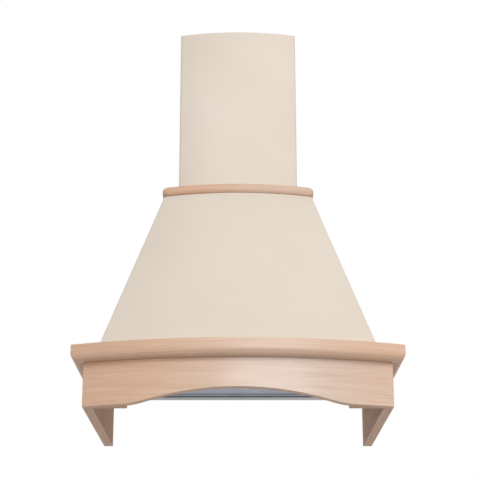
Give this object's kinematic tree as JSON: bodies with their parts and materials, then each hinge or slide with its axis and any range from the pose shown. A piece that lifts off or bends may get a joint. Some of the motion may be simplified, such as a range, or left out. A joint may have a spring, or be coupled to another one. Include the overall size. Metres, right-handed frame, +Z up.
{
  "type": "wooden range hood",
  "caption": "Wall-mounted range hood with an arched beech frame and collar, a tapering cream-painted steel canopy and duct cover, a grease filter, lamps and a fan.",
  "frame": {"origin": "on the wall plane, midway between the two hanging holes in the canopy's back panel", "axes": "+X to the right seen from the front, +Y into the wall, +Z up"},
  "size_m": [0.6, 0.4974, 0.829],
  "materials": {
    "beech": "raw, sanded",
    "cream_paint": "satin powder coat",
    "galvanised_steel": "galvanised",
    "pan_paint": "satin grey paint",
    "filter_aluminium": "satin anodised",
    "filter_mesh": "layered expanded mesh",
    "latch_plastic": "matt",
    "button_plastic": "fine texture",
    "fascia_plastic": "fine texture",
    "lamp_trim": "satin",
    "lamp_glass": "frosted",
    "lamp_body": "matt",
    "fan_plastic": "matt",
    "motor_steel": "turned steel",
    "sheet_aluminium": "mill",
    "screw_steel": "zinc plated"
  },
  "bodies": {
    "hood": {"back_panel": "galvanised_steel", "base_pan": "pan_paint", "cable_gland": "fascia_plastic", "canopy_shell": "cream_paint", "capacitor": "fan_plastic", "chimney_bracket": "galvanised_steel", "chimney_lower": "cream_paint", "collar_front": "beech", "collar_left": "beech", "collar_right": "beech", "control_panel": "fascia_plastic", "corner_block_left": "beech", "corner_block_right": "beech", "crown_moulding_front": "beech", "crown_moulding_left": "beech", "crown_moulding_right": "beech", "damper_axle": "motor_steel", "duct_spigot": "galvanised_steel", "fan_housing_left": "fan_plastic", "fan_housing_right": "fan_plastic", "frame_brackets": "galvanised_steel", "frame_dowels": "beech", "front_rail": "beech", "junction_box": "fan_plastic", "lamp_bezel_left": "lamp_trim", "lamp_bezel_right": "lamp_trim", "lamp_holder_left": "lamp_body", "lamp_holder_right": "lamp_body", "lamp_lens_left": "lamp_glass", "lamp_lens_right": "lamp_glass", "machine_screws": "screw_steel", "motor_bearings": "motor_steel", "motor_bracket": "galvanised_steel", "motor_housing": "motor_steel", "motor_stator": "motor_steel", "sheet_screws": "screw_steel", "side_panel_left": "beech", "side_panel_right": "beech", "switch_block": "fascia_plastic", "top_plate": "galvanised_steel", "wood_screws": "screw_steel"},
    "grease_filter": {"filter_frame": "filter_aluminium", "filter_mesh": "filter_mesh"},
    "filter_latch_left": {"filter_latch_left": "latch_plastic"},
    "filter_latch_right": {"filter_latch_right": "latch_plastic"},
    "button_off": {"button_off": "button_plastic"},
    "button_low": {"button_low": "button_plastic"},
    "button_medium": {"button_medium": "button_plastic"},
    "button_high": {"button_high": "button_plastic"},
    "button_light": {"button_light": "button_plastic"},
    "chimney_upper": {"chimney_upper": "cream_paint"},
    "damper_flap_front": {"damper_flap_front": "sheet_aluminium"},
    "damper_flap_rear": {"damper_flap_rear": "sheet_aluminium"},
    "fan_wheel": {"impeller_disc": "sheet_aluminium", "impeller_rings": "sheet_aluminium", "impeller_blades": "sheet_aluminium", "motor_shaft": "motor_steel", "motor_rotor": "motor_steel"}
  },
  "joints": [
    {"name": "filter_hinge", "type": "hinge", "parent": "hood", "child": "grease_filter", "pos_m": [0, -0.0339, -0.319], "axis": [1, 0, 0], "range_deg": [0, 70]},
    {"name": "filter_latch_left_slide", "type": "slide", "parent": "grease_filter", "child": "filter_latch_left", "axis": [0, 1, 0], "range_m": [0, 0.005], "stiffness_N_per_m": 400, "springref_m": -0.004},
    {"name": "filter_latch_right_slide", "type": "slide", "parent": "grease_filter", "child": "filter_latch_right", "axis": [0, 1, 0], "range_m": [0, 0.005], "stiffness_N_per_m": 400, "springref_m": -0.004},
    {"name": "button_off_press", "type": "slide", "parent": "hood", "child": "button_off", "axis": [0, 0, 1], "range_m": [0, 0.0025], "stiffness_N_per_m": 500, "springref_m": -0.002},
    {"name": "button_low_press", "type": "slide", "parent": "hood", "child": "button_low", "axis": [0, 0, 1], "range_m": [0, 0.0025], "stiffness_N_per_m": 500, "springref_m": -0.002},
    {"name": "button_medium_press", "type": "slide", "parent": "hood", "child": "button_medium", "axis": [0, 0, 1], "range_m": [0, 0.0025], "stiffness_N_per_m": 500, "springref_m": -0.002},
    {"name": "button_high_press", "type": "slide", "parent": "hood", "child": "button_high", "axis": [0, 0, 1], "range_m": [0, 0.0025], "stiffness_N_per_m": 500, "springref_m": -0.002},
    {"name": "button_light_press", "type": "slide", "parent": "hood", "child": "button_light", "axis": [0, 0, 1], "range_m": [0, 0.0025], "stiffness_N_per_m": 500, "springref_m": -0.002},
    {"name": "chimney_extension", "type": "slide", "parent": "hood", "child": "chimney_upper", "axis": [0, 0, 1], "range_m": [0, 0.25]},
    {"name": "damper_front_hinge", "type": "hinge", "parent": "hood", "child": "damper_flap_front", "pos_m": [0, -0.095, 0.046], "axis": [-1, 0, 0], "range_deg": [0, 80]},
    {"name": "damper_rear_hinge", "type": "hinge", "parent": "hood", "child": "damper_flap_rear", "pos_m": [0, -0.095, 0.046], "axis": [1, 0, 0], "range_deg": [0, 80]},
    {"name": "fan_spin", "type": "hinge", "parent": "hood", "child": "fan_wheel", "pos_m": [0, -0.1805, -0.1235], "axis": [1, 0, 0], "continuous": true}
  ]
}
